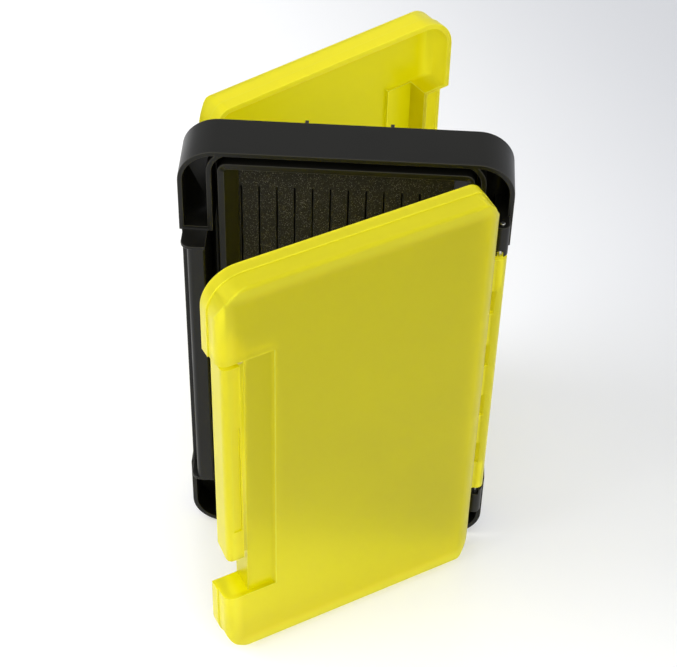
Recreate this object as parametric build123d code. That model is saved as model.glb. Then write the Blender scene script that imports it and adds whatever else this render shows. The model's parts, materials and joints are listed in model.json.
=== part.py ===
from build123d import *
import os

# Two-sided lure box that stands on its short end, with a lid on the front (-Y) and one on the back (+Y).
# Millimetres, +Z up, origin at the centre of the flat end that it stands on.
# Everything is drawn with both lids shut. The lids are then turned open about their hinge axes.

# Case: a skirt round the outside, a web across the middle, and a walled tray on each side of the web
CASE_W = 105.0
CASE_H = 175.0
SKIRT_DEPTH = 16.8
SKIRT_WALL = 1.6
SKIRT_R = 12.0
WEB_FRONT = 2.0
WEB_T = 1.4
TRAY_W = 79.6
TRAY_H = 166.2
TRAY_WALL = 2.1
TRAY_R = 3.0
FRONT_TRAY_RIM = 8.5
BACK_TRAY_RIM = 13.3
BACK_TRAY_HINGE_R = 7.0

# The long sides are cut back between the shoulders, for the latch on one side and the hinge on the other
RECESS_LOW = 32.0
RECESS_HIGH = 143.0
RECESS_IN = 40.0
SIDE_INSET = 0.8
SHOULDER_RIB_W = 86.8
SHOULDER_RIB_T = 1.7
SHOULDER_RIB_R = 9.0

# Catch block on the case, which the latch flap folds over, with an undercut groove in its outer side
CATCH_OUT = 49.4
CATCH_IN = 43.5
CATCH_FRONT = 16.6
CATCH_WALL = 1.4
CATCH_R = 1.6
CATCH_INNER_R = 0.8
GROOVE_DEEP = 0.7
GROOVE_FROM_FRONT = 4.6
GROOVE_FROM_SKIRT = 1.2
CHEEK_T = 1.1
CHEEK_OUT = 51.5
CHEEK_R = 3.0

# Hinge: axis place, knuckle radius, fixed lugs with a notch that shows the pin, pins
AXIS_X = 49.3
AXIS_Y = 12.1
KNUCKLE_R = 2.4
LUG_L = 12.0
LUG_W = 4.6
NOTCH_W = 2.0
NOTCH_H = 2.5
HINGE_GAP = 0.3
BARREL_CHAMFER = 0.7
BARREL_WEB_T = 3.0
PIN_R = 0.8
PIN_IN_BARREL = 13.0
PIN_PROUD = 0.3
PIN_SLACK = 0.02
BORE_SLACK = 0.08
BORE_SPARE = 0.5
SLOTS = 4
SLOT_L = 10.0
SLOT_W = 1.2
SLOT_PITCH = 24.0

# Lids: a shallow tray with a rim band that stands a little proud
LID_DEPTH = 10.8
LID_SEAT_GAP = 0.2
LID_END_INSET = 2.25
LID_HINGE_SIDE = 46.6
RIM_BAND = 4.2
RIM_STEP = 0.5
LID_WALL = 1.4
LID_FACE_T = 1.4
LID_R = 12.0
HINGE_CORNER_W = 6.5
HINGE_CORNER_H = 10.5
HINGE_CORNER_R = 5.0
FACE_R_LATCH = 3.5
FACE_R_HINGE = 7.0
FACE_R_END = 1.2
FACE_R_INNER_END = 0.6

# Latch zone of a lid: cut-out for the catch block, sunken ledge, film hinge and flap
LEDGE_SINK = 1.6
LEDGE_T = 1.2
LEDGE_END = 34.6
LEDGE_SLOPE = 1.4
CUT_X = 43.2
FLAP_HIGH = 141.5
FLAP_LOW = 52.0
FLAP_OUT = 50.8
FLAP_IN = 44.9
FLAP_FRONT_T = 2.0
FLAP_SIDE_T = 1.15
FLAP_DEPTH = 8.2
FLAP_R = 2.2
FLAP_INNER_R = 1.0
FLAP_CHAMFER = 2.4
FILM_T = 0.4
FILM_GAP = 0.1
FILM_END_GAP = 1.0
HOOK = 0.45
HOOK_W = 1.1
HOOK_SLOPE = 0.3
HOOK_END_GAP = 4.0
GRIP_LOW = 66.0
GRIP_HIGH = 115.0
GRIP_SINK = 0.5
GRIP_W = 2.8
GRIP_EDGE = 0.6

# Opening angles of the photographed pose, from shut
FRONT_OPEN = 30.87
BACK_OPEN = 38.9

# Slit foam on the front of the web
FOAM_W = 66.8
FOAM_FACE = 5.0
FOAM_SLIT_PITCH = 5.6
FOAM_SLITS_EACH_SIDE = 5
FOAM_SLIT_W = 0.5
FOAM_SLIT_DEPTH = 5.0
FOAM_ROWS = 3
FOAM_ROW_GAP = 6.0
FOAM_END_MARGIN = 9.0

# Dividers in the back tray
LONG_DIVIDER_X = 13.6
DIVIDER_T = 1.2
DIVIDER_TOP = 14.4
CROSS_DROP = 0.6
TAB_TOP = 16.5
TAB_L = 1.2
TAB_ROOT = 1.0
CROSS_PER_COLUMN = 2
RIB_PROUD = 0.5
RIB_T = 1.0
RIB_DROP = 1.5
FIT = 0.1

# How far joined pieces run into each other, how far a cut runs past a face, and a reach past everything
SINK = 0.2
PAST = 1.0
FAR = 60.0

SKIRT = SKIRT_DEPTH / 2
SIDE_X = CASE_W / 2 - SIDE_INSET
WEB_BACK = WEB_FRONT + WEB_T
MID_Z = CASE_H / 2
LID_RIM = SKIRT + LID_SEAT_GAP
LID_FACE = SKIRT + LID_DEPTH
LEDGE_Y = LID_FACE - LEDGE_SINK
TRAY_X = TRAY_W / 2 - TRAY_WALL
TRAY_LOW = (CASE_H - TRAY_H) / 2 + TRAY_WALL
TRAY_HIGH = CASE_H - TRAY_LOW
FILM_X = (FLAP_IN + CUT_X) / 2
FILM_Y = LEDGE_Y - FILM_T / 2

os.makedirs("parts", exist_ok=True)


def block(x0, x1, y0, y1, z0, z1):
    """A box between two corners."""
    size = Box(abs(x1 - x0), abs(y1 - y0), abs(z1 - z0))
    return Pos((x0 + x1) / 2, (y0 + y1) / 2, (z0 + z1) / 2) * size


def slab(sketch, y0, y1):
    """A sketch in X and Z, centred at mid height, given depth from y0 to y1."""
    plane = Plane(origin=(0, y1, MID_Z), x_dir=(1, 0, 0), z_dir=(0, -1, 0))
    return extrude(plane * sketch, amount=y1 - y0)


def column(points, z0, z1, corners=()):
    """A polygon in X and Y raised from z0 to z1. corners holds (point number, radius)."""
    face = make_face(Polyline(*points, close=True).edges())
    for number, radius in corners:
        x, y = points[number]
        corner = face.vertices().sort_by_distance((x, y, 0))[0]
        face = fillet(corner, radius)
    return Pos(0, 0, z0) * extrude(face, amount=z1 - z0, dir=(0, 0, 1))


def ring(width, height, radius, wall, y0, y1):
    """A rounded rectangular wall."""
    outer = RectangleRounded(width, height, radius)
    inner = RectangleRounded(width - 2 * wall, height - 2 * wall, radius - wall)
    return slab(outer - inner, y0, y1)


def post(x, y, radius, z0, z1):
    """A cylinder on a vertical axis."""
    return Pos(x, y, (z0 + z1) / 2) * Cylinder(radius, z1 - z0)


def half_turn(shape):
    """The same piece on the other face of the box."""
    return Rot(0, 0, 180) * shape


def mirrored_ends(shape):
    """A piece and its mirror image at the other end of the box."""
    return shape + mirror(shape, Plane(origin=(0, 0, MID_Z), z_dir=(0, 0, 1)))


def catch_block(web_far):
    """The block on the front latch side, up to the far side of the web, with an undercut for the flap's hook."""
    body = column(
        [(-CATCH_IN, web_far), (-CATCH_IN, -CATCH_FRONT), (-CATCH_OUT, -CATCH_FRONT), (-CATCH_OUT, web_far)],
        RECESS_LOW,
        RECESS_HIGH,
        corners=((2, CATCH_R), (1, CATCH_INNER_R)),
    )
    cheek = column(
        [(-CATCH_IN, 0), (-CATCH_IN, -CATCH_FRONT), (-CHEEK_OUT, -CATCH_FRONT), (-CHEEK_OUT, 0)],
        RECESS_HIGH - CHEEK_T,
        RECESS_HIGH,
        corners=((2, CHEEK_R),),
    )
    groove = block(
        -CATCH_OUT - PAST,
        -CATCH_OUT + GROOVE_DEEP,
        -CATCH_FRONT + GROOVE_FROM_FRONT,
        -SKIRT - GROOVE_FROM_SKIRT,
        FLAP_LOW - PAST,
        FLAP_HIGH + SINK,
    )
    return body + mirrored_ends(cheek) - groove


def catch_core(web_far):
    """The pocket that cores the front catch block from behind."""
    return block(
        -CATCH_OUT + CATCH_WALL + GROOVE_DEEP,
        -CATCH_IN - CATCH_WALL,
        -CATCH_FRONT + CATCH_WALL,
        web_far + PAST,
        RECESS_LOW + CATCH_WALL,
        RECESS_HIGH - CATCH_WALL,
    )


def hinge_lugs(web_far):
    """The fixed knuckles of the front hinge, each on a foot from the web and notched where its pin comes out."""
    low = RECESS_HIGH + HINGE_GAP
    high = low + LUG_L
    knuckle = post(AXIS_X, -AXIS_Y, KNUCKLE_R, low, high)
    web_near = web_far - WEB_T
    foot = block(AXIS_X - LUG_W / 2, AXIS_X + LUG_W / 2, -AXIS_Y, web_near + SINK, low, high)
    notch = block(
        AXIS_X - NOTCH_W / 2, AXIS_X + NOTCH_W / 2, -AXIS_Y - KNUCKLE_R - PAST, -AXIS_Y, low, low + NOTCH_H
    )
    return mirrored_ends(knuckle + foot - notch)


def foam_ramps():
    """Sloping inner borders that frame the foam."""
    edge = FOAM_W / 2 + FIT
    ramp = column(
        [
            (-TRAY_X - SINK, WEB_FRONT + SINK),
            (-TRAY_X - SINK, -FRONT_TRAY_RIM),
            (-TRAY_X, -FRONT_TRAY_RIM),
            (-edge, -FOAM_FACE),
            (-edge, WEB_FRONT + SINK),
        ],
        TRAY_LOW - SINK,
        TRAY_HIGH + SINK,
    )
    return ramp + mirror(ramp, Plane.YZ)


def back_tray_wall():
    """The back tray's wall, with rounder corners at the hinge, where the lid's own corners are cut."""
    outer = Rectangle(TRAY_W, TRAY_H)
    outer = fillet(outer.vertices().group_by(Axis.X)[0], BACK_TRAY_HINGE_R)
    outer = fillet(outer.vertices().group_by(Axis.X)[-1], TRAY_R)
    inner = offset(outer, amount=-TRAY_WALL)
    return slab(outer - inner, WEB_BACK - SINK, BACK_TRAY_RIM)


def cross_levels():
    """Heights of the cross dividers, which part each column into equal cells."""
    step = (TRAY_HIGH - TRAY_LOW) / (CROSS_PER_COLUMN + 1)
    return [TRAY_LOW + step * (number + 1) for number in range(CROSS_PER_COLUMN)]


def divider_ribs():
    """Pairs of short ribs that hold the cross dividers against the side walls of the back tray."""
    ribs = []
    for level in cross_levels():
        for side in (-1, 1):
            for step in (-1, 1):
                middle = level + step * (DIVIDER_T / 2 + FIT + RIB_T / 2)
                ribs.append(
                    block(
                        side * (TRAY_X + SINK),
                        side * (TRAY_X - RIB_PROUD),
                        WEB_BACK - SINK,
                        BACK_TRAY_RIM - RIB_DROP,
                        middle - RIB_T / 2,
                        middle + RIB_T / 2,
                    )
                )
    return ribs


def skirt_and_shoulders():
    """The outer wall, cut back along both sides, and the ribs and ledges that close the four shoulders."""
    inside = slab(RectangleRounded(CASE_W - PAST, CASE_H - PAST, SKIRT_R - PAST / 2), -SKIRT, SKIRT)
    rib = ring(SHOULDER_RIB_W, CASE_H + 2, SHOULDER_RIB_R, SHOULDER_RIB_T, -SKIRT, SKIRT) & inside
    rib -= block(-FAR, FAR, -FAR, FAR, RECESS_LOW, RECESS_HIGH)
    skirt = ring(CASE_W, CASE_H, SKIRT_R, SKIRT_WALL, -SKIRT, SKIRT)
    for side in (-1, 1):
        skirt -= block(side * RECESS_IN, side * FAR, -FAR, FAR, RECESS_LOW, RECESS_HIGH)
    for side in (-1, 1):
        skirt += block(
            side * (SIDE_X - SKIRT_WALL),
            side * SIDE_X,
            -SKIRT,
            SKIRT,
            RECESS_LOW - SINK,
            RECESS_HIGH + SINK,
        )
        ledge = block(
            side * (SHOULDER_RIB_W / 2 - PAST),
            side * CASE_W / 2,
            -SKIRT,
            SKIRT,
            RECESS_HIGH,
            RECESS_HIGH + SKIRT_WALL,
        )
        skirt += mirrored_ends(ledge)
    return skirt + rib


def web():
    """The wall across the middle, which both trays share."""
    sheet = slab(RectangleRounded(CASE_W, CASE_H, SKIRT_R), WEB_FRONT, WEB_BACK)
    for side in (-1, 1):
        sheet -= block(side * SIDE_X, side * FAR, -FAR, FAR, RECESS_LOW, RECESS_HIGH)
    return sheet


def divider_slots():
    """Slots through the ends of the back tray, for the tabs of the long dividers."""
    slots = []
    for x in (-LONG_DIVIDER_X, LONG_DIVIDER_X):
        half = DIVIDER_T / 2 + FIT
        reach = TAB_L + FIT
        slots.append(
            block(x - half, x + half, WEB_BACK, BACK_TRAY_RIM + PAST, TRAY_LOW - reach, TRAY_HIGH + reach)
        )
    return slots


def case_body():
    """The black moulding that carries everything else."""
    body = skirt_and_shoulders() + web()
    body += ring(TRAY_W, TRAY_H, TRAY_R, TRAY_WALL, -FRONT_TRAY_RIM, WEB_FRONT + SINK)
    body += back_tray_wall()
    body += foam_ramps()
    for rib in divider_ribs():
        body += rib
    body += catch_block(WEB_BACK) + hinge_lugs(WEB_BACK)
    body += half_turn(catch_block(-WEB_FRONT) + hinge_lugs(-WEB_FRONT))
    body -= catch_core(WEB_BACK)
    body -= half_turn(catch_core(-WEB_FRONT))
    for low, high in pin_spans():
        hole = post(AXIS_X, -AXIS_Y, PIN_R + PIN_SLACK, low - PAST, high + PAST)
        body -= hole
        body -= half_turn(hole)
    for slot in divider_slots():
        body -= slot
    return body


def pin_spans():
    """Low and high ends of the two pins of one hinge."""
    low = RECESS_HIGH - PIN_IN_BARREL
    high = RECESS_HIGH + HINGE_GAP + LUG_L + PIN_PROUD
    return [(CASE_H - high, CASE_H - low), (low, high)]


def lid_outline():
    """The lid's outline in X and Z, with plain round corners at the latch and cut ones at the hinge."""
    half = CASE_H / 2 - LID_END_INSET
    left = -CASE_W / 2
    points = [
        (left, -half),
        (LID_HINGE_SIDE - HINGE_CORNER_W, -half),
        (LID_HINGE_SIDE, -half + HINGE_CORNER_H),
        (LID_HINGE_SIDE, half - HINGE_CORNER_H),
        (LID_HINGE_SIDE - HINGE_CORNER_W, half),
        (left, half),
    ]
    face = make_face(Polyline(*points, close=True).edges())
    face = fillet(face.vertices().group_by(Axis.X)[0], LID_R)
    for x, z in points[1:5]:
        corner = face.vertices().sort_by_distance((x, z, 0))[0]
        face = fillet(corner, HINGE_CORNER_R)
    return face


def side_profile(points):
    """A profile in Y and Z on a plane left of the object, ready to be extruded towards +X."""
    plane = Plane(origin=(-FAR, 0, 0), x_dir=(0, 1, 0), z_dir=(1, 0, 0))
    return plane, make_face(Polyline(*points, close=True).edges())


def lid_form(inset, rim, face, r_latch, r_hinge, r_end):
    """A solid block of the lid's shape, inset from its outline, from its rim to its face."""
    outline = offset(lid_outline(), amount=-inset)
    left = -CASE_W / 2 + inset
    right = LID_HINGE_SIDE - inset
    low = LID_END_INSET + inset
    high = CASE_H - low
    section = column(
        [(left, -rim), (left, -face), (right, -face), (right, -rim)],
        low - PAST,
        high + PAST,
        corners=((1, r_latch), (2, r_hinge)),
    )
    plane, ends = side_profile([(-rim, low), (-face, low), (-face, high), (-rim, high)])
    for z in (low, high):
        corner = ends.vertices().sort_by_distance((-face, z, 0))[0]
        ends = fillet(corner, r_end)
    return slab(outline, -face, -rim) & section & extrude(plane * ends, amount=2 * FAR)


def lid_shell():
    """The yellow lid, shut, without its flap."""
    outer = lid_form(RIM_STEP, LID_RIM, LID_FACE, FACE_R_LATCH, FACE_R_HINGE, FACE_R_END)
    band = slab(lid_outline(), -LID_RIM - RIM_BAND, -LID_RIM)
    inner = lid_form(
        RIM_STEP + LID_WALL,
        LID_RIM - PAST,
        LID_FACE - LID_FACE_T,
        FACE_R_LATCH - LID_WALL,
        FACE_R_HINGE - LID_WALL,
        FACE_R_INNER_END,
    )
    low = RECESS_LOW - LID_WALL
    high = RECESS_HIGH + LID_WALL
    inner -= block(-FAR, -CUT_X + LID_WALL, -FAR, 0, low, high)
    inner -= block(-FAR, -LEDGE_END + LEDGE_SLOPE + LEDGE_T, -FAR, -LEDGE_Y + LEDGE_T, low, high)
    shell = outer + band - inner
    shell -= block(-FAR, -CUT_X, -FAR, 0, RECESS_LOW, RECESS_HIGH)
    shell -= column(
        [
            (-CUT_X - PAST, -LEDGE_Y),
            (-LEDGE_END, -LEDGE_Y),
            (-LEDGE_END + LEDGE_SLOPE, -LID_FACE - SINK),
            (-CUT_X - PAST, -LID_FACE - SINK),
        ],
        RECESS_LOW,
        RECESS_HIGH,
    )
    return shell + hinge_barrel() - barrel_bores()


def hinge_barrel():
    """The lid's long knuckle, joined to its side by a web with a row of slots."""
    low = RECESS_LOW + HINGE_GAP
    high = RECESS_HIGH - HINGE_GAP
    barrel = post(AXIS_X, -AXIS_Y, KNUCKLE_R, low, high)
    barrel = chamfer(barrel.edges().filter_by(GeomType.CIRCLE), BARREL_CHAMFER)
    barrel += block(
        LID_HINGE_SIDE - RIM_STEP - SINK,
        AXIS_X,
        -AXIS_Y - BARREL_WEB_T / 2,
        -AXIS_Y + BARREL_WEB_T / 2,
        low + BARREL_CHAMFER,
        high - BARREL_CHAMFER,
    )
    for number in range(SLOTS):
        middle = MID_Z + (number - (SLOTS - 1) / 2) * SLOT_PITCH
        barrel -= block(
            LID_HINGE_SIDE + FIT,
            LID_HINGE_SIDE + FIT + SLOT_W,
            -AXIS_Y - KNUCKLE_R - PAST,
            -AXIS_Y + KNUCKLE_R + PAST,
            middle - SLOT_L / 2,
            middle + SLOT_L / 2,
        )
    return barrel


def barrel_bores():
    """Blind holes for the pins in the ends of the lid's knuckle."""
    low = RECESS_HIGH - PIN_IN_BARREL - BORE_SPARE
    return mirrored_ends(post(AXIS_X, -AXIS_Y, PIN_R + BORE_SLACK, low, RECESS_HIGH + PAST))


def latch_film():
    """The thin strip that the flap bends on, shut. It ends just short of the flap's edge, which turns round it."""
    low = FLAP_LOW + FILM_END_GAP
    high = FLAP_HIGH - FILM_END_GAP
    return block(-FLAP_IN + FILM_GAP, -CUT_X, -LEDGE_Y, -LEDGE_Y + FILM_T, low, high)


def latch_flap():
    """The L-shaped flap, shut: a front plate, a side plate and a hook along its free edge."""
    back = LID_FACE - FLAP_DEPTH
    inside = LID_FACE - FLAP_FRONT_T
    side = -FLAP_OUT + FLAP_SIDE_T
    points = [
        (-FLAP_IN, -LID_FACE),
        (-FLAP_OUT, -LID_FACE),
        (-FLAP_OUT, -back),
        (side, -back),
        (side, -inside),
        (-FLAP_IN, -inside),
    ]
    flap = column(points, FLAP_LOW, FLAP_HIGH, corners=((1, FLAP_R), (4, FLAP_INNER_R)))
    flap += column(
        [(side - SINK, -back), (side + HOOK, -back - HOOK_SLOPE), (side - SINK, -back - HOOK_W)],
        FLAP_LOW + HOOK_END_GAP,
        FLAP_HIGH - HOOK_END_GAP,
    )
    flap -= block(
        -FLAP_IN - GRIP_EDGE - GRIP_W,
        -FLAP_IN - GRIP_EDGE,
        -LID_FACE - PAST,
        -LID_FACE + GRIP_SINK,
        GRIP_LOW,
        GRIP_HIGH,
    )
    plane, corner = side_profile(
        [(-back, FLAP_LOW), (-back, FLAP_LOW + FLAP_CHAMFER), (-LID_FACE + PAST, FLAP_LOW)]
    )
    return flap - extrude(plane * corner, amount=side + PAST + FAR)


def slit_foam():
    """The foam sheet on the web, with rows of slits for hooks."""
    foam = block(-FOAM_W / 2, FOAM_W / 2, -FOAM_FACE, WEB_FRONT, TRAY_LOW + FIT, TRAY_HIGH - FIT)
    low = TRAY_LOW + FOAM_END_MARGIN
    span = TRAY_HIGH - TRAY_LOW - 2 * FOAM_END_MARGIN
    length = (span - (FOAM_ROWS - 1) * FOAM_ROW_GAP) / FOAM_ROWS
    for row in range(FOAM_ROWS):
        start = low + row * (length + FOAM_ROW_GAP)
        for number in range(-FOAM_SLITS_EACH_SIDE, FOAM_SLITS_EACH_SIDE + 1):
            x = number * FOAM_SLIT_PITCH
            foam -= block(
                x - FOAM_SLIT_W / 2,
                x + FOAM_SLIT_W / 2,
                -FOAM_FACE - PAST,
                -FOAM_FACE + FOAM_SLIT_DEPTH,
                start,
                start + length,
            )
    return foam


def long_divider(x):
    """A partition along the back tray, with a tab at each end that stands in a slot of the tray wall."""
    left = x - DIVIDER_T / 2
    right = x + DIVIDER_T / 2
    plate = block(left, right, WEB_BACK, DIVIDER_TOP, TRAY_LOW + FIT, TRAY_HIGH - FIT)
    tab = block(left, right, WEB_BACK, TAB_TOP, TRAY_HIGH - FIT - TAB_ROOT, TRAY_HIGH + TAB_L)
    return plate + mirrored_ends(tab)


def cross_divider(column_number, level):
    """A short partition across one of the three columns."""
    edges = [-TRAY_X, -LONG_DIVIDER_X, LONG_DIVIDER_X, TRAY_X]
    half = DIVIDER_T / 2
    left = edges[column_number] + (FIT if column_number == 0 else half + FIT)
    right = edges[column_number + 1] - (FIT if column_number == 2 else half + FIT)
    return block(left, right, WEB_BACK, DIVIDER_TOP - CROSS_DROP, level - half, level + half)


def save(name, shape):
    """Write one piece."""
    export_step(shape, "parts/" + name + ".step")


save("case_body", case_body())
save("slit_foam", slit_foam())
for side, x in (("left", -LONG_DIVIDER_X), ("right", LONG_DIVIDER_X)):
    save("long_divider_" + side, long_divider(x))
for column_number in range(3):
    for row, level in enumerate(cross_levels()):
        name = "cross_divider_" + str(column_number * CROSS_PER_COLUMN + row + 1)
        save(name, cross_divider(column_number, level))

for face, side, open_angle in (("front", 1, FRONT_OPEN), ("back", -1, BACK_OPEN)):
    axis = Pos(side * AXIS_X, -side * AXIS_Y, 0)
    pose = axis * Rot(0, 0, open_angle) * axis.inverse()
    to_face = Rot(0, 0, 0 if side == 1 else 180)
    save(face + "_lid", pose * to_face * lid_shell())
    save(face + "_latch_film", pose * to_face * latch_film())
    save(face + "_latch", pose * to_face * latch_flap())
    for end, (low, high) in zip(("lower", "upper"), pin_spans()):
        save(face + "_hinge_pin_" + end, to_face * post(AXIS_X, -AXIS_Y, PIN_R, low, high))
    flap_axis = (pose * to_face * Pos(-FILM_X, -FILM_Y, 0)).position
    print(face, "flap axis x", round(flap_axis.X, 3), "y", round(flap_axis.Y, 3))
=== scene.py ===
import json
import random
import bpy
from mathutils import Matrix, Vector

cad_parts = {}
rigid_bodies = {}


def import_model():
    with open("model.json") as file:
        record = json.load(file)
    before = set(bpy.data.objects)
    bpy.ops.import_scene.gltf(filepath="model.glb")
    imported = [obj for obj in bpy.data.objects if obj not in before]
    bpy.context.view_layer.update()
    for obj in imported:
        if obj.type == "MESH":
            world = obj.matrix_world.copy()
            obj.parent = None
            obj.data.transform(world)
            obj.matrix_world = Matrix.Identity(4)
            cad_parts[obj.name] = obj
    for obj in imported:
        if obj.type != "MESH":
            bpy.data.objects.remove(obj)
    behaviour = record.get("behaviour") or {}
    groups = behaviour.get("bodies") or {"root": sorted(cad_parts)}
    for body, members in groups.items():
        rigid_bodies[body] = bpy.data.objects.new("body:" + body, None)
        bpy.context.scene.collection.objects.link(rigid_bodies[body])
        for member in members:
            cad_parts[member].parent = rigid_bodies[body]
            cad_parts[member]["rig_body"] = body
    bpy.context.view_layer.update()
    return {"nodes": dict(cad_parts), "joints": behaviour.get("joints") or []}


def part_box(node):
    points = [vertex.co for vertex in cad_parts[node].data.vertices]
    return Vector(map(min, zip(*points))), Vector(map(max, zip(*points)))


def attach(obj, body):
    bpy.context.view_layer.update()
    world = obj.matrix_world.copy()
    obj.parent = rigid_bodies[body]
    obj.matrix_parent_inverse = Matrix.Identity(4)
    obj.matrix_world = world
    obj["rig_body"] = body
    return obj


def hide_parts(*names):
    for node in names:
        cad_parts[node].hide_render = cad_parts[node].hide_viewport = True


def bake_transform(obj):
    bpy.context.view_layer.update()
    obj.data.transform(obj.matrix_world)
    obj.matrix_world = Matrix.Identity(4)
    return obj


bl_info = {
    "name": "Lure box",
    "version": (1, 0, 0),
    "blender": (4, 5, 0),
    "location": "View3D > Sidebar > Lure box",
    "description": "Finishes the packed lure box: moulded case, frosted lids, slit foam, pins and stage",
    "category": "Object",
}

from math import cos, pi, radians, sin

import bmesh
import bpy
from bpy.props import FloatProperty, FloatVectorProperty, PointerProperty
from mathutils import Matrix, Vector
from mathutils.bvhtree import BVHTree

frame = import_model()
MM = 0.001
JOINTS = {joint["name"]: joint for joint in frame["joints"]}
SIDES = ("front", "back")

# Cleaning and rounding of the CAD meshes
SAME_POINT = 0.001 * MM
SAME_ROUNDED_POINT = 0.0005 * MM
CLOSE = 0.01 * MM
CUT_SLACK = 0.0001 * MM
FLAT_ANGLE = radians(0.3)
SHARP_ANGLE = radians(30)
CRISP_ANGLE = radians(35)

# A face has to be this many radii wide for its edge to be rounded
ROOM_SHARE = 2.2

# A vertex further than this share of the radius from the unrounded surface is pulled back to it
STRAY_SHARE = 0.5

# Rounded edges are marked in a face attribute; in a see-through piece they get a painted glow, and in the
# case a painted highlight
EDGE_MASK = "rounded_edge"
EDGE_PAINTED_GLOW = 0.13
# Share of the painted edge glow that the film strips get all over
FILM_PAINTED_GLOW_SHARE = 0.5

# Painted glow in the lids, standing in for light that scatters in them: a little all over, and more within
# the depth of their walls
LID_PAINTED_GLOW = 0.02
WALL_PAINTED_GLOW_SHARE = 0.5
WALL_PAINTED_GLOW_FADE = (3.0 * MM, 7.5 * MM)

# The lids' sheen takes some of the moulding's own yellow, because light scatters just under the skin
LID_SHEEN_TINT = (1.0, 0.95, 0.15, 1.0)

# Roughness of each finish. Below 0.275 the filter that cleans a render takes a surface for a mirror, and
# a finish that crosses that limit gets wrinkled marks along the crossing.
CASE_ROUGHNESS = (0.3, 0.42)
DIVIDER_ROUGHNESS = (0.29, 0.38)
LID_ROUGHNESS = (0.285, 0.375)
PIN_ROUGHNESS = (0.29, 0.36)

# How far each colour wanders below and above itself
CASE_SHADES = (0.75, 1.5)
DIVIDER_SHADES = (0.9, 1.8)
LID_SHADES = ((0.97, 0.96, 1.0), (1.0, 1.02, 1.3))
PIN_SHADES = (0.85, 1.0)

# The case's rounded edges are painted paler than its faces: a painted highlight where they catch the light
CASE_EDGE_HIGHLIGHT_GAIN = 5.0

# Values that a noise texture mostly keeps between
NOISE_SPAN = (0.3, 0.7)

# Reach of a foam cell's painted glint from its middle, as a share of the cell
SPECK_REACH = 0.36

# Places of the colours among the sockets of a Mix node, and of its result
MIX_COLOURS = (6, 7)
MIX_RESULT = 2

# Ends of a lid's cut-out, which in the solids lie in the planes of the cheeks, and the gap left there
CUT_ENDS_Z = (32.0 * MM, 143.0 * MM)
CUT_EASE = 0.1 * MM

# Latch zone of a lid, drawn shut on the front face
FLAP_IN_X = -44.9 * MM
CUT_X = -43.2 * MM
LEDGE_Y = -17.6 * MM
FILM_T = 0.4 * MM
FILM_LOW_Z = 53.0 * MM
FILM_HIGH_Z = 140.5 * MM
FILM_STEPS = 10
FILM_NECK = 0.6

# Slits of the foam
SLIT_PITCH = 5.6 * MM
SLIT_FIRST = 0.6 * MM
SLITS = 12
SLIT_DEPTH = 5.0 * MM
SLIT_ROWS = 3
SLIT_ROW_GAP = 6.0 * MM
SLIT_END_MARGIN = 8.9 * MM
SLIT_STEP = 3.0 * MM
SLIT_FLOOR_SHARE = 0.3
SLIT_SEED = 7
LIP_ROUND = 0.16 * MM
LIP_REACH = 0.1 * MM
LIP_ANGLE = radians(50)
TOWARDS_FRONT = -0.9

# Pins: facets, and the rounding of their ends as a share of the radius
PIN_SEGMENTS = 48
PIN_END_SHARE = 0.3
PIN_END_SEGMENTS = 4
PIN_END_ANGLE = radians(60)

# The floor glows a little near the object as a painted pool of light, and has painted shade far behind it
# and to its right, where the light falls off
FLOOR_HALF_SIDE = 3.0
FLOOR_GLOW = 0.26
FLOOR_FAR_PAINTED_SHADE = (0.76, 0.77, 0.8)
FLOOR_FADE = (-0.05, 0.35)
FLOOR_FADE_SLANT = 0.5

# World: its colour, its strength, and what is added where it is seen directly or through a lid
WORLD_COLOUR = (0.97, 0.98, 1.0, 1.0)
WORLD_STRENGTH = 0.7
WORLD_SEEN_EXTRA = 0.3

# Soft lights: name, place, side and power
LIGHTS = (
    ("key_light", (-0.9, -0.2, 1.1), 0.9, 9.0),
    ("fill_light", (0.6, -0.9, 0.9), 1.2, 6.5),
)
LIGHT_TARGET = (0.0, 0.0, 0.08)

# Brightest single path through the frosted lids, so that a few stray ones leave no specks
STRAY_LIGHT_CLAMP = 2.0

# Camera fitted to the edges in the photograph, whose frame is 677 by 667
PICTURE_W = 677
PICTURE_H = 667
FOCAL_PX = 1912.58
CENTRE_PX = (341.16, 334.38)
CAMERA_PLACE = (0.014827, -0.461966, 0.54656)
CAMERA_PITCH = radians(44.549)
CAMERA_YAW = radians(-1.885)
CAMERA_ROLL = radians(1.614)
CAMERA_NEAREST = 0.01
SENSOR_W = 36.0


class LureBoxSizes(bpy.types.PropertyGroup):
    """Sizes that a user would change."""

    case_round: FloatProperty(
        name="Case edge radius",
        description="How far the case's sharp edges are rounded",
        default=0.22 * MM,
        unit="LENGTH",
        precision=5,
    )
    divider_round: FloatProperty(
        name="Divider edge radius",
        description="How far the dividers' sharp edges are rounded",
        default=0.2 * MM,
        unit="LENGTH",
        precision=5,
    )
    lid_round: FloatProperty(
        name="Lid edge radius",
        description="How far the lids' sharp edges are rounded",
        default=0.2 * MM,
        unit="LENGTH",
        precision=5,
    )
    flap_round: FloatProperty(
        name="Flap edge radius",
        description="How far the flaps' sharp edges are rounded",
        default=0.1 * MM,
        unit="LENGTH",
        precision=5,
    )
    slit_width: FloatProperty(
        name="Slit width",
        description="Width of a foam slit at its mouth",
        default=0.5 * MM,
        unit="LENGTH",
        precision=5,
    )
    slit_waver: FloatProperty(
        name="Slit waver",
        description="How far the edges of a slit wander from straight",
        default=0.07 * MM,
        unit="LENGTH",
        precision=5,
    )


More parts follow.
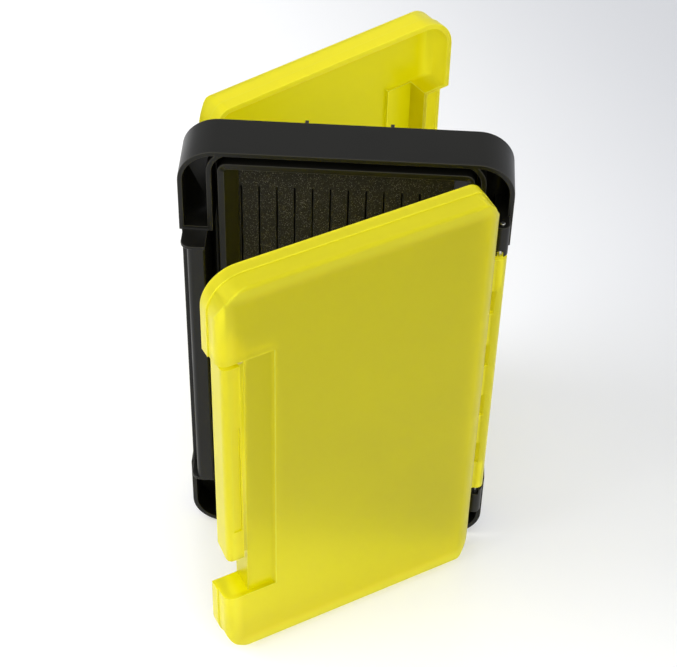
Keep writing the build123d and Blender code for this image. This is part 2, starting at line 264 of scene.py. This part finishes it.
class LureBoxColours(bpy.types.PropertyGroup):
    """Colours and finishes that a user would change."""

    case: FloatVectorProperty(
        name="Case",
        description="Colour of the black moulding",
        default=(0.0055, 0.0053, 0.004),
        subtype="COLOR",
        size=3,
    )
    lid: FloatVectorProperty(
        name="Lid",
        description="Colour of the see-through moulding",
        default=(0.935, 0.855, 0.001),
        subtype="COLOR",
        size=3,
    )
    # Painted glow colour of the lids' rounded edges and walls, standing in for light that runs inside the
    # wall and comes out there
    lid_edge_glow: FloatVectorProperty(
        name="Lid edges",
        description="Colour of the rounded edges, where the light that runs inside the wall comes out",
        default=(0.97, 0.91, 0.05),
        subtype="COLOR",
        size=3,
    )
    lid_clear: FloatProperty(
        name="Lid clearness",
        description="Share of the light that passes through the lid's surface",
        default=0.66,
        min=0.0,
        max=1.0,
        subtype="FACTOR",
    )
    foam: FloatVectorProperty(
        name="Foam",
        description="Colour of the foam",
        default=(0.013, 0.012, 0.008),
        subtype="COLOR",
        size=3,
    )
    # Painted glint colour of the foam's cell walls, standing in for the light they catch
    speck_glint: FloatVectorProperty(
        name="Foam specks",
        description="Colour of the cell walls that catch the light",
        default=(0.2, 0.19, 0.16),
        subtype="COLOR",
        size=3,
    )
    steel: FloatVectorProperty(
        name="Pins",
        description="Colour of the steel pins",
        default=(0.62, 0.62, 0.6),
        subtype="COLOR",
        size=3,
    )
    floor: FloatVectorProperty(
        name="Floor",
        description="Colour of the floor",
        default=(0.86, 0.86, 0.86),
        subtype="COLOR",
        size=3,
    )


def new_mesh_object(name, bm, material):
    """An object at the origin made from a bmesh, which is freed."""
    mesh = bpy.data.meshes.new(name)
    bm.to_mesh(mesh)
    bm.free()
    for face in mesh.polygons:
        face.use_smooth = True
    mesh.materials.clear()
    mesh.materials.append(material)
    piece = bpy.data.objects.new(name, mesh)
    bpy.context.scene.collection.objects.link(piece)
    return piece


def crisp(piece, angle=CRISP_ANGLE):
    """Smooth shading that breaks at edges sharper than the angle, with face-weighted normals."""
    piece.data.set_sharp_from_angle(angle=angle)
    weighted = piece.modifiers.new("Face weighted normals", "WEIGHTED_NORMAL")
    weighted.keep_sharp = True
    return piece


def sharper_than(edge, angle):
    """Whether an edge between two faces turns by more than the angle."""
    return edge.is_manifold and edge.calc_face_angle(0) > angle


def round_edges(bm, edges, radius, segments=2, clamp=False):
    """Rounds edges of a bmesh, and returns the new faces."""
    rounded = bmesh.ops.bevel(
        bm,
        geom=edges,
        offset=radius,
        offset_type="OFFSET",
        segments=segments,
        profile=0.5,
        affect="EDGES",
        clamp_overlap=clamp,
        material=-1,
    )
    return rounded["faces"]


def has_room(edge, radius):
    """Whether both faces beside an edge are wide enough to be rounded there."""
    start = edge.verts[0].co
    along = (edge.verts[1].co - start).normalized()
    for face in edge.link_faces:
        reach = max((vert.co - start).cross(along).length for vert in face.verts)
        if reach < ROOM_SHARE * radius:
            return False
    return True


def ease_cut_out(bm):
    """Moves the ends of a lid's cut-out a little apart, so that the shut lid clears the cheeks."""
    for place, step in zip(CUT_ENDS_Z, (-CUT_EASE, CUT_EASE)):
        ends = [vert for vert in bm.verts if abs(vert.co.z - place) < CLOSE]
        bmesh.ops.translate(bm, verts=ends, vec=(0, 0, step))


def rounded_copy(node, name, radius, material, ease=None):
    """A copy of a CAD node, its flats joined and its convex edges rounded, which stands for the node."""
    bm = bmesh.new()
    bm.from_mesh(frame["nodes"][node].data)
    bmesh.ops.remove_doubles(bm, verts=bm.verts, dist=SAME_POINT)
    bmesh.ops.dissolve_limit(bm, angle_limit=FLAT_ANGLE, verts=bm.verts, edges=bm.edges)
    if ease:
        ease(bm)
    surface = BVHTree.FromBMesh(bm)
    corners = [edge for edge in bm.edges if edge.is_convex and sharper_than(edge, SHARP_ANGLE)]
    corners = [edge for edge in corners if has_room(edge, radius)]
    bmesh.ops.connect_verts_concave(bm, faces=bm.faces)
    mask = bm.faces.layers.float.new(EDGE_MASK)
    for face in round_edges(bm, corners, radius):
        face[mask] = 1.0
    for vert in bm.verts:
        nearest, _, _, distance = surface.find_nearest(vert.co)
        if distance > STRAY_SHARE * radius:
            vert.co = nearest
    bmesh.ops.remove_doubles(bm, verts=bm.verts, dist=SAME_ROUNDED_POINT)
    bmesh.ops.triangulate(bm, faces=[face for face in bm.faces if len(face.verts) > 4])
    piece = crisp(new_mesh_object(name, bm, material))
    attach(piece, frame["nodes"][node]["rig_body"])
    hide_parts(node)
    return piece


def shut_to_rest(side):
    """The turn that takes a piece drawn shut on the front face to where it is at rest."""
    joint = JOINTS[side + "_lid_hinge"]
    place = Matrix.Translation(joint["pos_m"])
    opened = Matrix.Rotation(radians(-joint["range_deg"][0]), 4, "Z")
    to_face = Matrix.Rotation(pi if side == "back" else 0.0, 4, "Z")
    return place @ opened @ place.inverted() @ to_face


def add_group(name, inputs, outputs):
    """A shader node group with a vector, named numbers and named outputs, and its two end nodes."""
    group = bpy.data.node_groups.new(name, "ShaderNodeTree")
    group.interface.new_socket(name="Vector", in_out="INPUT", socket_type="NodeSocketVector")
    for label, default in inputs:
        socket = group.interface.new_socket(name=label, in_out="INPUT", socket_type="NodeSocketFloat")
        socket.default_value = default
    for label in outputs:
        group.interface.new_socket(name=label, in_out="OUTPUT", socket_type="NodeSocketFloat")
    return group, group.nodes.new("NodeGroupInput"), group.nodes.new("NodeGroupOutput")


def maths(tree, operation, a, b):
    """A math node fed by sockets or numbers, and its output."""
    node = tree.nodes.new("ShaderNodeMath")
    node.operation = operation
    for number, value in enumerate((a, b)):
        if isinstance(value, (int, float)):
            node.inputs[number].default_value = value
        else:
            tree.links.new(value, node.inputs[number])
    return node.outputs[0]


def moulded_grain():
    """The fine texture of a spark-eroded mould, with slow changes in gloss."""
    found = bpy.data.node_groups.get("Moulded grain")
    if found:
        return found
    group, given, out = add_group(
        "Moulded grain",
        (("Grain per metre", 3000.0), ("Patches per metre", 60.0)),
        ("Height", "Patches"),
    )
    layers = (("Grain per metre", 3.0, "Height"), ("Patches per metre", 4.0, "Patches"))
    for scale, detail, result in layers:
        noise = group.nodes.new("ShaderNodeTexNoise")
        noise.inputs["Detail"].default_value = detail
        group.links.new(given.outputs["Vector"], noise.inputs["Vector"])
        group.links.new(given.outputs[scale], noise.inputs["Scale"])
        group.links.new(noise.outputs["Fac"], out.inputs[result])
    return group


def foam_cells():
    """The cut face of closed-cell foam: small cells, and painted glints on a few cell walls where they
    catch the light.
    """
    found = bpy.data.node_groups.get("Foam cells")
    if found:
        return found
    group, given, out = add_group(
        "Foam cells",
        (("Cells per metre", 2400.0), ("Bright share", 0.16)),
        ("Height", "Specks"),
    )
    cells = group.nodes.new("ShaderNodeTexVoronoi")
    group.links.new(given.outputs["Vector"], cells.inputs["Vector"])
    group.links.new(given.outputs["Cells per metre"], cells.inputs["Scale"])
    chosen = group.nodes.new("ShaderNodeSeparateColor")
    group.links.new(cells.outputs["Color"], chosen.inputs["Color"])
    lucky = maths(group, "LESS_THAN", chosen.outputs[0], given.outputs["Bright share"])
    near = maths(group, "LESS_THAN", cells.outputs["Distance"], SPECK_REACH)
    level = maths(group, "MULTIPLY", chosen.outputs[1], maths(group, "MULTIPLY", lucky, near))
    group.links.new(level, out.inputs["Specks"])
    group.links.new(cells.outputs["Distance"], out.inputs["Height"])
    return group


def new_material(name):
    """A material with a Principled shader, and its tree, shader and Object coordinates."""
    material = bpy.data.materials.new(name)
    material.use_nodes = True
    tree = material.node_tree
    shader = next(node for node in tree.nodes if node.type == "BSDF_PRINCIPLED")
    place = tree.nodes.new("ShaderNodeTexCoord")
    return material, tree, shader, place.outputs["Object"]


def use_group(tree, group, vector, values):
    """A group node in a material, with its own values."""
    node = tree.nodes.new("ShaderNodeGroup")
    node.node_tree = group
    tree.links.new(vector, node.inputs["Vector"])
    for label, value in values.items():
        node.inputs[label].default_value = value
    return node


def map_range(tree, value, given, result, smooth=False):
    """A number that runs through the result's span as the value runs through the given one."""
    node = tree.nodes.new("ShaderNodeMapRange")
    if smooth:
        node.interpolation_type = "SMOOTHSTEP"
    for label, number in zip(("From Min", "From Max", "To Min", "To Max"), (*given, *result)):
        node.inputs[label].default_value = number
    tree.links.new(value, node.inputs["Value"])
    return node.outputs["Result"]


def mix_colours(tree, mask, low, high):
    """A colour that runs from low to high with the mask, where each is a colour or a socket."""
    node = tree.nodes.new("ShaderNodeMix")
    node.data_type = "RGBA"
    tree.links.new(mask, node.inputs["Factor"])
    for number, colour in zip(MIX_COLOURS, (low, high)):
        if isinstance(colour, bpy.types.NodeSocket):
            tree.links.new(colour, node.inputs[number])
        else:
            node.inputs[number].default_value = (*colour, 1.0)
    return node.outputs[MIX_RESULT]


def scaled(colour, share):
    """A colour times a number, or times a number for each of its parts."""
    parts = share if isinstance(share, tuple) else (share, share, share)
    return tuple(value * part for value, part in zip(colour, parts))


def wandering(tree, mask, colour, shades):
    """A colour that wanders between two shades of itself with the mask."""
    return mix_colours(tree, mask, scaled(colour, shades[0]), scaled(colour, shades[1]))


def edge_mask(tree):
    """The mark of the rounded edges."""
    node = tree.nodes.new("ShaderNodeAttribute")
    node.attribute_name = EDGE_MASK
    return node.outputs["Fac"]


def seen_by(tree, kinds):
    """One for a ray of the named kinds, and else nothing."""
    light = tree.nodes.new("ShaderNodeLightPath")
    seen = light.outputs[kinds[0]]
    for kind in kinds[1:]:
        seen = maths(tree, "ADD", seen, light.outputs[kind])
    return maths(tree, "MINIMUM", seen, 1.0)


def add_bump(tree, shader, height, depth, strength):
    """A Bump node between a height and the shader's normal."""
    bump = tree.nodes.new("ShaderNodeBump")
    bump.inputs["Strength"].default_value = strength
    bump.inputs["Distance"].default_value = depth
    tree.links.new(height, bump.inputs["Height"])
    tree.links.new(bump.outputs["Normal"], shader.inputs["Normal"])


def case_material(name):
    """Black polypropylene with a fine matt mould texture, and a painted highlight along its rounded edges.
    """
    material, tree, shader, place = new_material(name)
    colours = bpy.context.scene.lure_box_colours
    grain = use_group(tree, moulded_grain(), place, {"Grain per metre": 2600.0, "Patches per metre": 45.0})
    patches = grain.outputs["Patches"]
    body = wandering(tree, patches, colours.case, CASE_SHADES)
    # Painted highlight: the rounded edges are painted paler than the faces
    highlit_edges = mix_colours(tree, edge_mask(tree), body, scaled(colours.case, CASE_EDGE_HIGHLIGHT_GAIN))
    tree.links.new(highlit_edges, shader.inputs["Base Color"])
    tree.links.new(map_range(tree, patches, NOISE_SPAN, CASE_ROUGHNESS), shader.inputs["Roughness"])
    shader.inputs["Specular IOR Level"].default_value = 0.22
    add_bump(tree, shader, grain.outputs["Height"], depth=0.05 * MM, strength=0.25)
    return material


def divider_material(name):
    """Smooth black polypropylene."""
    material, tree, shader, place = new_material(name)
    colours = bpy.context.scene.lure_box_colours
    grain = use_group(tree, moulded_grain(), place, {"Grain per metre": 1500.0, "Patches per metre": 90.0})
    patches = grain.outputs["Patches"]
    body = wandering(tree, patches, colours.case, DIVIDER_SHADES)
    tree.links.new(body, shader.inputs["Base Color"])
    tree.links.new(map_range(tree, patches, NOISE_SPAN, DIVIDER_ROUGHNESS), shader.inputs["Roughness"])
    add_bump(tree, shader, grain.outputs["Height"], depth=0.02 * MM, strength=0.2)
    return material


def lid_wall_glow_mask(tree, place, side):
    """A mask for the lids' painted glow, which is one at the outline of a lid and fades to nothing over its
    wall's depth.
    """
    to_shut = shut_to_rest(side).inverted()
    lid = [to_shut @ vert.co for vert in frame["nodes"][side + "_lid"].data.vertices]
    turned = tree.nodes.new("ShaderNodeMapping")
    turned.inputs["Location"].default_value = to_shut.translation
    turned.inputs["Rotation"].default_value = to_shut.to_euler()
    tree.links.new(place, turned.inputs["Vector"])
    split = tree.nodes.new("ShaderNodeSeparateXYZ")
    tree.links.new(turned.outputs["Vector"], split.inputs["Vector"])
    gaps = []
    for label, axis in (("X", 0), ("Z", 2)):
        gaps.append(maths(tree, "SUBTRACT", split.outputs[label], min(point[axis] for point in lid)))
        gaps.append(maths(tree, "SUBTRACT", max(point[axis] for point in lid), split.outputs[label]))
    nearest = gaps[0]
    for gap in gaps[1:]:
        nearest = maths(tree, "MINIMUM", nearest, gap)
    return map_range(tree, nearest, WALL_PAINTED_GLOW_FADE, (1.0, 0.0), smooth=True)


def lid_material(name, side):
    """Yellow frosted polypropylene that the dark case shows through, with a painted glow along its walls
    and rounded edges.
    """
    material, tree, shader, place = new_material(name)
    colours = bpy.context.scene.lure_box_colours
    grain = use_group(tree, moulded_grain(), place, {"Grain per metre": 1800.0, "Patches per metre": 30.0})
    patches = grain.outputs["Patches"]
    body = wandering(tree, patches, colours.lid, LID_SHADES)
    walls = maths(tree, "MULTIPLY", lid_wall_glow_mask(tree, place, side), WALL_PAINTED_GLOW_SHARE)
    # Painted glow: a paler base colour at the rounded edges and within the walls' depth
    bright = maths(tree, "MAXIMUM", edge_mask(tree), walls)
    tree.links.new(mix_colours(tree, bright, body, colours.lid_edge_glow), shader.inputs["Base Color"])
    tree.links.new(map_range(tree, patches, NOISE_SPAN, LID_ROUGHNESS), shader.inputs["Roughness"])
    # Painted glow: dim emission all over, brighter at the rounded edges and walls
    glow_all_over = scaled(colours.lid, LID_PAINTED_GLOW)
    edge_glow = scaled(colours.lid_edge_glow, EDGE_PAINTED_GLOW)
    tree.links.new(mix_colours(tree, bright, glow_all_over, edge_glow), shader.inputs["Emission Color"])
    shader.inputs["Emission Strength"].default_value = 1.0
    shader.inputs["Transmission Weight"].default_value = colours.lid_clear
    shader.inputs["IOR"].default_value = 1.49
    shader.inputs["Specular IOR Level"].default_value = 0.3
    shader.inputs["Specular Tint"].default_value = LID_SHEEN_TINT
    add_bump(tree, shader, grain.outputs["Height"], depth=0.02 * MM, strength=0.12)
    return material


def foam_material(name):
    """Dark closed-cell foam with a speckled cut face, whose specks are painted glints on its cell walls."""
    material, tree, shader, place = new_material(name)
    colours = bpy.context.scene.lure_box_colours
    cells = use_group(tree, foam_cells(), place, {"Cells per metre": 4200.0, "Bright share": 0.45})
    # Painted glints: a few cell walls painted lighter where they catch the light
    speckled = mix_colours(tree, cells.outputs["Specks"], colours.foam, colours.speck_glint)
    tree.links.new(speckled, shader.inputs["Base Color"])
    shader.inputs["Roughness"].default_value = 0.85
    shader.inputs["Specular IOR Level"].default_value = 0.25
    add_bump(tree, shader, cells.outputs["Height"], depth=0.12 * MM, strength=0.4)
    return material


def steel_material(name):
    """Drawn stainless wire."""
    material, tree, shader, place = new_material(name)
    colours = bpy.context.scene.lure_box_colours
    grain = use_group(tree, moulded_grain(), place, {"Grain per metre": 4000.0, "Patches per metre": 300.0})
    patches = grain.outputs["Patches"]
    body = wandering(tree, patches, colours.steel, PIN_SHADES)
    tree.links.new(body, shader.inputs["Base Color"])
    tree.links.new(map_range(tree, patches, NOISE_SPAN, PIN_ROUGHNESS), shader.inputs["Roughness"])
    shader.inputs["Metallic"].default_value = 1.0
    add_bump(tree, shader, grain.outputs["Height"], depth=0.01 * MM, strength=0.2)
    return material


def floor_material(name):
    """A pale floor that shows white to the camera, and keeps the shadow and a soft reflection; it has a
    painted pool of light near the object and painted shade far from it.
    """
    material, tree, shader, place = new_material(name)
    pale = bpy.context.scene.lure_box_colours.floor
    shader.inputs["Roughness"].default_value = 0.22
    shader.inputs["Specular IOR Level"].default_value = 0.35
    split = tree.nodes.new("ShaderNodeSeparateXYZ")
    tree.links.new(place, split.inputs["Vector"])
    slanted = maths(tree, "MULTIPLY", split.outputs["Y"], FLOOR_FADE_SLANT)
    across = maths(tree, "ADD", split.outputs["X"], slanted)
    glow = map_range(tree, across, FLOOR_FADE, (FLOOR_GLOW, 0.0), smooth=True)
    near = maths(tree, "DIVIDE", glow, FLOOR_GLOW)
    # Painted shade: the floor's colour is darker far behind the object and to its right
    painted_falloff = mix_colours(tree, near, scaled(pale, FLOOR_FAR_PAINTED_SHADE), pale)
    tree.links.new(painted_falloff, shader.inputs["Base Color"])
    seen = seen_by(tree, ("Is Camera Ray", "Is Glossy Ray", "Is Transmission Ray"))
    shader.inputs["Emission Color"].default_value = (1.0, 1.0, 1.0, 1.0)
    tree.links.new(maths(tree, "MULTIPLY", seen, glow), shader.inputs["Emission Strength"])
    return material


def material_named(name, maker, *given):
    """The material if it is there, and else a new one."""
    return bpy.data.materials.get(name) or maker(name, *given)


def lid_material_of(side):
    """The lid material whose walls are those of one side's lid."""
    return material_named("lid_frosted_yellow_" + side, lid_material, side)


def add_block(bm, low, high):
    """A block between two corners."""
    place = Matrix.Translation((low + high) / 2) @ Matrix.Diagonal((*(high - low), 1.0))
    bmesh.ops.create_cube(bm, size=1.0, matrix=place)


def cut_across(bm, axis, place):
    """Cuts the whole mesh with a plane across one axis."""
    normal = Vector((0, 0, 0))
    normal[axis] = 1.0
    bmesh.ops.bisect_plane(
        bm,
        geom=bm.verts[:] + bm.edges[:] + bm.faces[:],
        dist=CUT_SLACK,
        plane_co=normal * place,
        plane_no=normal,
    )


def slit_rows(low, high):
    """The low and high end of each row of slits."""
    length = (high - low - 2 * SLIT_END_MARGIN - (SLIT_ROWS - 1) * SLIT_ROW_GAP) / SLIT_ROWS
    starts = [low + SLIT_END_MARGIN + row * (length + SLIT_ROW_GAP) for row in range(SLIT_ROWS)]
    return [(start, start + length) for start in starts]


def sink_slits(bm, centres, rows, width):
    """Cuts the slits' outlines into the foam and sinks their mouths."""
    for centre in centres:
        cut_across(bm, 0, centre - width / 2)
        cut_across(bm, 0, centre + width / 2)
    for start, end in rows:
        steps = round((end - start) / SLIT_STEP)
        for step in range(steps + 1):
            cut_across(bm, 2, start + (end - start) * step / steps)
    mouths = []
    for face in bm.faces:
        middle = face.calc_center_median()
        in_slit = any(abs(middle.x - centre) < width / 2 for centre in centres)
        in_row = any(start < middle.z < end for start, end in rows)
        if face.normal.y < TOWARDS_FRONT and in_slit and in_row:
            mouths.append(face)
    made = bmesh.ops.extrude_face_region(bm, geom=mouths)
    floor = [item for item in made["geom"] if isinstance(item, bmesh.types.BMVert)]
    bmesh.ops.translate(bm, verts=floor, vec=(0, SLIT_DEPTH, 0))
    bmesh.ops.delete(bm, geom=mouths, context="FACES_ONLY")


def waver_slits(bm, centres, rows, width, waver, face_y):
    """Narrows the slits towards their floors, and moves the edges of their mouths at random."""
    draw = random.Random(SLIT_SEED)
    for vert in bm.verts:
        near = min(centres, key=lambda centre: abs(vert.co.x - centre))
        offset = vert.co.x - near
        on_side = abs(abs(offset) - width / 2) < SAME_POINT
        in_row = any(start - CLOSE < vert.co.z < end + CLOSE for start, end in rows)
        in_depth = vert.co.y < face_y + SLIT_DEPTH + CLOSE
        if not (on_side and in_row and in_depth):
            continue
        if vert.co.y > face_y + MM:
            vert.co.x = near + offset * SLIT_FLOOR_SHARE
        else:
            vert.co.x += draw.uniform(-waver, waver)


def slit_foam_mesh(low, high, width, waver):
    """The foam sheet with rows of narrow slits that waver a little and have soft mouths."""
    bm = bmesh.new()
    add_block(bm, low, high)
    centres = [low.x + SLIT_FIRST + number * SLIT_PITCH for number in range(SLITS)]
    rows = slit_rows(low.z, high.z)
    sink_slits(bm, centres, rows, width)
    waver_slits(bm, centres, rows, width, waver, low.y)
    sharp = [edge for edge in bm.edges if sharper_than(edge, LIP_ANGLE)]
    lips = [edge for edge in sharp if max(vert.co.y for vert in edge.verts) < low.y + LIP_REACH]
    round_edges(bm, lips, LIP_ROUND, clamp=True)
    bmesh.ops.recalc_face_normals(bm, faces=bm.faces)
    return bm


def film_mesh(side):
    """The strip that a flap bends on, thinnest along its middle, as it lies at rest."""
    bm = bmesh.new()
    low = Vector((FLAP_IN_X, LEDGE_Y, FILM_LOW_Z))
    high = Vector((CUT_X, LEDGE_Y + FILM_T, FILM_HIGH_Z))
    add_block(bm, low, high)
    for step in range(1, FILM_STEPS):
        cut_across(bm, 0, low.x + (high.x - low.x) * step / FILM_STEPS)
    middle_y = (low.y + high.y) / 2
    for vert in bm.verts:
        share = (vert.co.x - low.x) / (high.x - low.x)
        neck = 1 - (1 - FILM_NECK) * sin(pi * share)
        vert.co.y = middle_y + (vert.co.y - middle_y) * neck
    # The strip gets part of the painted edge glow all over
    mask = bm.faces.layers.float.new(EDGE_MASK)
    for face in bm.faces:
        face[mask] = FILM_PAINTED_GLOW_SHARE
    bmesh.ops.transform(bm, matrix=shut_to_rest(side), verts=bm.verts)
    return bm


def pin_mesh(low, high):
    """A straight pin with rounded ends, between the corners of its CAD box."""
    bm = bmesh.new()
    radius = (high.x - low.x) / 2
    bmesh.ops.create_cone(
        bm,
        cap_ends=True,
        segments=PIN_SEGMENTS,
        radius1=radius,
        radius2=radius,
        depth=high.z - low.z,
        matrix=Matrix.Translation((low + high) / 2),
    )
    rims = [edge for edge in bm.edges if sharper_than(edge, PIN_END_ANGLE)]
    round_edges(bm, rims, radius * PIN_END_SHARE, segments=PIN_END_SEGMENTS)
    return bm


class LUREBOX_OT_case(bpy.types.Operator):
    """Makes the black case with rounded edges"""

    bl_idname = "lurebox.case"
    bl_label = "Case"

    def execute(self, context):
        material = material_named("case_black_moulding", case_material)
        radius = context.scene.lure_box_sizes.case_round
        rounded_copy("case_body", "case_moulding", radius, material)
        return {"FINISHED"}


class LUREBOX_OT_dividers(bpy.types.Operator):
    """Makes the dividers of the back tray"""

    bl_idname = "lurebox.dividers"
    bl_label = "Dividers"

    def execute(self, context):
        material = material_named("divider_black_sheet", divider_material)
        radius = context.scene.lure_box_sizes.divider_round
        names = sorted(name for name in frame["nodes"] if "divider" in name)
        if not names:
            raise RuntimeError("the frame has no divider nodes")
        for name in names:
            rounded_copy(name, name + "_sheet", radius, material)
        return {"FINISHED"}


class LUREBOX_OT_foam(bpy.types.Operator):
    """Makes the slit foam"""

    bl_idname = "lurebox.foam"
    bl_label = "Slit foam"

    def execute(self, context):
        material = material_named("foam_speckled", foam_material)
        sizes = context.scene.lure_box_sizes
        low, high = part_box("slit_foam")
        bm = slit_foam_mesh(low, high, sizes.slit_width, sizes.slit_waver)
        piece = crisp(new_mesh_object("foam_sheet", bm, material), LIP_ANGLE)
        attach(piece, "case")
        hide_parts("slit_foam")
        return {"FINISHED"}


class LUREBOX_OT_pins(bpy.types.Operator):
    """Makes the four hinge pins"""

    bl_idname = "lurebox.pins"
    bl_label = "Hinge pins"

    def execute(self, context):
        material = material_named("pin_steel_wire", steel_material)
        names = sorted(name for name in frame["nodes"] if "hinge_pin" in name)
        if not names:
            raise RuntimeError("the frame has no hinge pin nodes")
        for name in names:
            piece = crisp(new_mesh_object(name + "_wire", pin_mesh(*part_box(name)), material))
            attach(piece, "case")
            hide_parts(name)
        return {"FINISHED"}


class LUREBOX_OT_lids(bpy.types.Operator):
    """Makes the two frosted lids"""

    bl_idname = "lurebox.lids"
    bl_label = "Lids"

    def execute(self, context):
        radius = context.scene.lure_box_sizes.lid_round
        for side in SIDES:
            material = lid_material_of(side)
            name = side + "_lid_moulding"
            rounded_copy(side + "_lid", name, radius, material, ease=ease_cut_out)
        return {"FINISHED"}


class LUREBOX_OT_latches(bpy.types.Operator):
    """Makes the two latch flaps and the film hinges that they bend on"""

    bl_idname = "lurebox.latches"
    bl_label = "Latches"

    def execute(self, context):
        radius = context.scene.lure_box_sizes.flap_round
        for side in SIDES:
            material = lid_material_of(side)
            rounded_copy(side + "_latch", side + "_latch_flap", radius, material)
            film = new_mesh_object(side + "_latch_hinge_strip", film_mesh(side), material)
            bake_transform(film)
            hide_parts(side + "_latch_film")
        return {"FINISHED"}


def add_area_light(name, place, side, power):
    """A square soft light that points at the object."""
    data = bpy.data.lights.new(name, "AREA")
    data.size = side
    data.energy = power
    lamp = bpy.data.objects.new(name, data)
    lamp.location = place
    lamp.rotation_euler = (Vector(LIGHT_TARGET) - Vector(place)).to_track_quat("-Z", "Y").to_euler()
    bpy.context.scene.collection.objects.link(lamp)


def add_camera():
    """The camera that took the photograph."""
    forward = Vector(
        (
            sin(CAMERA_YAW) * cos(CAMERA_PITCH),
            cos(CAMERA_YAW) * cos(CAMERA_PITCH),
            -sin(CAMERA_PITCH),
        )
    )
    level = Vector((cos(CAMERA_YAW), -sin(CAMERA_YAW), 0))
    upright = level.cross(forward)
    right = cos(CAMERA_ROLL) * level + sin(CAMERA_ROLL) * upright
    up = -sin(CAMERA_ROLL) * level + cos(CAMERA_ROLL) * upright
    data = bpy.data.cameras.new("camera")
    data.sensor_fit = "HORIZONTAL"
    data.sensor_width = SENSOR_W
    data.lens = FOCAL_PX / PICTURE_W * SENSOR_W
    data.shift_x = (PICTURE_W / 2 - CENTRE_PX[0]) / PICTURE_W
    data.shift_y = (CENTRE_PX[1] - PICTURE_H / 2) / PICTURE_W
    data.clip_start = CAMERA_NEAREST
    camera = bpy.data.objects.new("camera", data)
    turn = Matrix((right, up, -forward)).transposed().to_4x4()
    camera.matrix_world = Matrix.Translation(CAMERA_PLACE) @ turn
    bpy.context.scene.collection.objects.link(camera)
    bpy.context.scene.camera = camera


def set_world():
    """An even pale world that lights the object softly and looks white."""
    world = bpy.data.worlds.new("pale_world")
    bpy.context.scene.world = world
    world.use_nodes = True
    tree = world.node_tree
    background = next(node for node in tree.nodes if node.type == "BACKGROUND")
    background.inputs["Color"].default_value = WORLD_COLOUR
    seen = seen_by(tree, ("Is Camera Ray", "Is Transmission Ray"))
    extra = maths(tree, "MULTIPLY", seen, WORLD_SEEN_EXTRA)
    tree.links.new(maths(tree, "ADD", extra, WORLD_STRENGTH), background.inputs["Strength"])


class LUREBOX_OT_stage(bpy.types.Operator):
    """Makes the floor, the lights and the camera"""

    bl_idname = "lurebox.stage"
    bl_label = "Stage"

    def execute(self, context):
        bm = bmesh.new()
        bmesh.ops.create_grid(bm, x_segments=2, y_segments=2, size=FLOOR_HALF_SIDE)
        floor = new_mesh_object("floor", bm, material_named("pale_floor", floor_material))
        set_world()
        for name, place, side, power in LIGHTS:
            add_area_light(name, place, side, power)
        add_camera()
        context.scene.view_settings.view_transform = "Standard"
        context.scene.cycles.sample_clamp_indirect = STRAY_LIGHT_CLAMP
        return {"FINISHED"}


OPERATORS = (
    LUREBOX_OT_case,
    LUREBOX_OT_dividers,
    LUREBOX_OT_foam,
    LUREBOX_OT_pins,
    LUREBOX_OT_lids,
    LUREBOX_OT_latches,
    LUREBOX_OT_stage,
)


class LUREBOX_PT_panel(bpy.types.Panel):
    """Lists the sizes, the colours and the pieces"""

    bl_idname = "LUREBOX_PT_panel"
    bl_label = "Lure box"
    bl_space_type = "VIEW_3D"
    bl_region_type = "UI"
    bl_category = "Lure box"

    def draw(self, context):
        layout = self.layout
        for group in (context.scene.lure_box_sizes, context.scene.lure_box_colours):
            box = layout.box()
            for name in group.__annotations__:
                box.prop(group, name)
        for operator in OPERATORS:
            layout.operator(operator.bl_idname)


CLASSES = (LureBoxSizes, LureBoxColours, *OPERATORS, LUREBOX_PT_panel)


def register():
    """Registers the classes and puts the sizes and colours on the scene."""
    for item in CLASSES:
        bpy.utils.register_class(item)
    bpy.types.Scene.lure_box_sizes = PointerProperty(type=LureBoxSizes)
    bpy.types.Scene.lure_box_colours = PointerProperty(type=LureBoxColours)


def unregister():
    """Takes away what register added."""
    del bpy.types.Scene.lure_box_colours
    del bpy.types.Scene.lure_box_sizes
    for item in reversed(CLASSES):
        bpy.utils.unregister_class(item)


def main():
    """Makes every piece and the stage."""
    register()
    bpy.ops.lurebox.case()
    bpy.ops.lurebox.dividers()
    bpy.ops.lurebox.foam()
    bpy.ops.lurebox.pins()
    bpy.ops.lurebox.lids()
    bpy.ops.lurebox.latches()
    bpy.ops.lurebox.stage()


if __name__ == "__main__":
    main()
